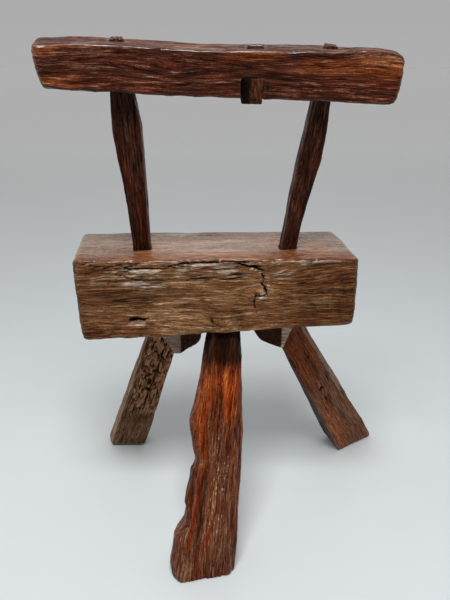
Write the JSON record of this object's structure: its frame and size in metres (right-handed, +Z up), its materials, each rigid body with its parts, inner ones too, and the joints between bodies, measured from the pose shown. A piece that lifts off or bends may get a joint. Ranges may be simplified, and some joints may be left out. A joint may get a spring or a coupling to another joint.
{
  "type": "three-legged back stool",
  "caption": "Rustic oak back stool: hewn beam seat on splayed legs, spindles and a leaning back rail.",
  "frame": {"origin": "on the floor, under the middle of the whole stool's box", "axes": "+Z up, +Y the way the sitter faces, -X the sitter's left"},
  "size_m": [0.523, 0.374, 0.721],
  "materials": {
    "seat_oak": "old hewn oak, waxed top, rough fibrous rear face",
    "rail_oak": "dark red-brown hewn oak, hand polished",
    "dark_stub": "old dark tenon, cut off",
    "spindle_oak": "dark hewn oak, waxed",
    "pale_wedge": "split oak, raw",
    "rear_leg_oak": "orange-red heartwood, waxed, with grey-brown flare",
    "left_leg_oak": "weathered grey-brown oak with worm-eaten patch",
    "right_leg_oak": "red-brown hewn oak",
    "brace_oak": "grey sawn oak",
    "nail_iron": "dark forged iron"
  },
  "bodies": {
    "root": {"seat_block": "seat_oak", "back_rail": "rail_oak", "centre_spindle_stub": "dark_stub", "back_spindle_left": "spindle_oak", "back_spindle_right": "spindle_oak", "spindle_wedge_left": "pale_wedge", "spindle_wedge_right": "pale_wedge", "rear_leg": "rear_leg_oak", "front_leg_left": "left_leg_oak", "front_leg_right": "right_leg_oak", "rear_leg_wedge": "pale_wedge", "front_leg_wedge_left": "pale_wedge", "front_leg_wedge_right": "pale_wedge", "brace_block_left": "brace_oak", "brace_block_right": "brace_oak", "brace_nails_left": "nail_iron", "brace_nails_right": "nail_iron"}
  },
  "joints": []
}
